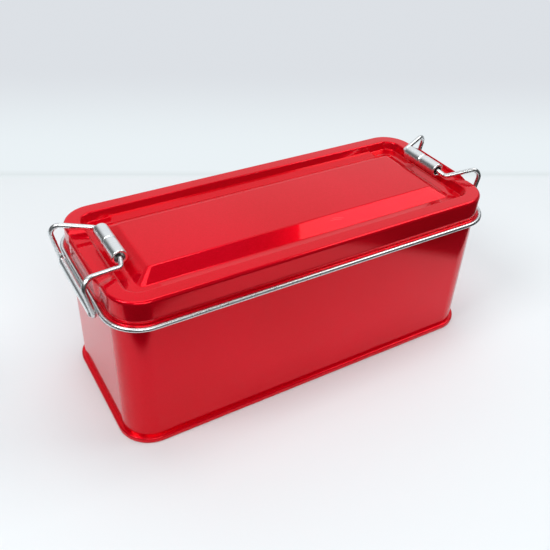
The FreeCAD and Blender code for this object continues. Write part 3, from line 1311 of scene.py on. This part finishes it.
@dataclass
class Studio:
    """Pale floor, backdrop, soft lamps and camera round the tin, in metres.

    Attributes:
        painted_mirror_dark: Colour of the painted dark that the floor shows past the lines to every ray but
            the camera's, which the tin mirrors.
        painted_mirror_edges: Direction square to each line past which the floor shows that painted dark, and
            the line's distance from the middle.
        backdrop_climb: Distances past the line between which the backdrop's painted light dims from its low
            to its high colour.
        line_from: Left end of the line where the floor turns into the backdrop.
        line_ease: How fast the floor turns into it, per metre.
        crease_past: How far past the line the crease lies, along which the backdrop darkens to a painted
            shade line.
        glow_way: Direction that most of the soft light comes from.
        glow_edge: Cosine of the angle from that direction where the glow starts.
        glow_core: Cosine of the angle where it is full.
        dim: Strength of the light from elsewhere.
        seen: Strength that the camera sees in place of the glow.
    """

    reach: float = 3.0
    facets: int = 48
    floor_white: Colour = (0.83, 0.875, 0.895, 1.0)
    # Painted dark reflection: past these lines the floor is dark to every ray but the camera's, so the tin
    # mirrors shade that the camera never sees on the floor.
    painted_mirror_dark: Colour = (0.03, 0.03, 0.03, 1.0)
    painted_mirror_edges: tuple[tuple[Triple, float], ...] = (
        ((0.667, -0.745, 0.0), 0.152),
        ((-0.456, -0.89, 0.0), 0.131),
    )
    painted_mirror_ease: float = 110.0
    # The backdrop glows with painted light: backdrop_low by the line, dimming to backdrop_high as it climbs.
    backdrop_low: Colour = (0.83, 0.89, 0.92, 1.0)
    backdrop_high: Colour = (0.72, 0.75, 0.79, 1.0)
    backdrop_climb: Pair = (0.03, 0.22)
    line_from: Pair = (-0.0917, 0.2361)
    line_to: Pair = (0.2787, 0.0565)
    line_ease: float = 140.0
    # Painted shade along the crease where the floor turns into the backdrop.
    crease_shade: Colour = (0.76, 0.82, 0.84, 1.0)
    crease_past: float = 0.004
    glow_way: Triple = (0.33, 0.75, 0.57)
    glow_edge: float = 0.60
    glow_core: float = 0.88
    glow: float = 0.9
    dim: float = 0.09
    seen: Colour = (0.9, 0.9, 0.9, 1.0)
    sky: Colour = (0.95, 0.97, 1.0, 1.0)
    camera: StudioCamera = field(default_factory=StudioCamera)
    lamps: tuple[SoftBox, ...] = (
        SoftBox("overhead_box", place=(-0.02, 0.12, 0.95), size=(0.6, 0.36), power=1.6),
        SoftBox("right_box", place=(0.765, -0.17, 0.95), size=(0.67, 0.55), power=3.8),
        SoftBox("left_box", place=(-0.62, -0.05, 0.80), size=(0.35, 0.35), power=3.0),
        SoftBox("front_box", place=(-0.25, -0.86, 0.85), size=(0.9, 0.6), power=6.2),
    )

    def floor_finish(self) -> Material:
        """White paper that turns past a line into a glowing backdrop of painted light, and shows painted dark
        to mirrors past two lines.

        Returns:
            The floor's material.
        """
        material = bpy.data.materials.new("floor_finish")
        material.use_nodes = True
        board = NodeBoard(material.node_tree)
        # Painted dark reflection: past the lines the floor turns dark for every ray but the camera's.
        painted_mirror_dark = 0.0
        for way, edge in self.painted_mirror_edges:
            beyond = board.maths("MULTIPLY", board.past(way, edge), self.painted_mirror_ease, clamp=True)
            painted_mirror_dark = board.maths("MAXIMUM", beyond, painted_mirror_dark)
        unseen = board.maths("SUBTRACT", 1.0, board.add("LightPath").outputs["Is Camera Ray"])
        dark = board.maths("MULTIPLY", painted_mirror_dark, unseen)
        paper = board.add("BsdfDiffuse")
        board.wire(board.blend(dark, self.floor_white, self.painted_mirror_dark), paper.inputs["Color"])

        start, end = Vector(self.line_from), Vector(self.line_to)
        along = (end - start).normalized()
        away = (-along.y, along.x, 0.0)
        distance = board.past(away, start.x * away[0] + start.y * away[1])
        # Painted light of the glowing backdrop, dimmer as it climbs; tint carries it.
        climb = board.remap(distance, self.backdrop_climb, (0.0, 1.0), "SMOOTHSTEP")
        tint = board.blend(climb, self.backdrop_low, self.backdrop_high)
        # Painted shade line along the crease.
        off_crease = board.maths("ABSOLUTE", board.maths("SUBTRACT", distance, self.crease_past))
        share = board.maths("MULTIPLY", off_crease, self.line_ease, clamp=True)
        backdrop = board.add("Emission")
        board.wire(board.blend(share, self.crease_shade, tint), backdrop.inputs["Color"])

        mix = board.add("MixShader")
        board.wire(board.maths("MULTIPLY_ADD", distance, self.line_ease, 0.5, clamp=True), mix.inputs["Fac"])
        board.wire(paper.outputs[0], mix.inputs[1])
        board.wire(backdrop.outputs[0], mix.inputs[2])
        board.wire(mix.outputs[0], board.add("OutputMaterial").inputs["Surface"])
        return material

    def lay_floor(self) -> None:
        """Lay the floor."""
        mesh = bmesh.new()
        bmesh.ops.create_circle(mesh, cap_ends=True, segments=self.facets, radius=self.reach)
        data = bpy.data.meshes.new("studio_floor")
        mesh.to_mesh(data)
        mesh.free()
        data.materials.append(self.floor_finish())
        floor = put("studio_floor", data)

    def light_world(self) -> None:
        """Soft light that comes mostly from behind the tin, seen as a plain pale backdrop."""
        world = bpy.data.worlds.new("studio_world")
        bpy.context.scene.world = world
        world.use_nodes = True
        board = NodeBoard(world.node_tree)
        way = board.add("TexCoord").outputs["Generated"]
        glow_way = tuple(Vector(self.glow_way).normalized())
        cosine = board.vector("DOT_PRODUCT", way, glow_way, output=1)
        glow = board.remap(cosine, (self.glow_edge, self.glow_core), (self.dim, self.glow), "SMOOTHSTEP")
        background = board.add("Background")
        background.inputs["Color"].default_value = self.sky
        seen = board.blend(board.add("LightPath").outputs["Is Camera Ray"], glow, self.seen)
        board.wire(seen, background.inputs["Strength"])
        board.wire(background.outputs[0], board.add("OutputWorld").inputs["Surface"])

    def set_up(self) -> None:
        """Set up the whole studio."""
        bpy.context.scene.view_settings.view_transform = "Standard"
        self.camera.stand()
        self.lay_floor()
        self.light_world()
        for lamp in self.lamps:
            lamp.hang()


# --- The whole tin ---


def main() -> None:
    """Build the tin, piece by piece, and the studio round it."""
    logging.basicConfig(level=logging.INFO, format="%(name)s %(message)s")
    lacquer = RedLacquer().make()
    wire = BRIGHT_WIRE.make()
    tube = SATIN_TUBE.make()
    outline = Outline.measure()
    Studio().set_up()
    TinBody(lacquer, outline).build()
    BaseSeam(lacquer, outline).build()
    PressedLid(lacquer, outline).build()
    NeckRing(wire, outline).build()
    for end in End:
        Clasp(end, outline, wire, tube).build()


if __name__ == "__main__":
    main()
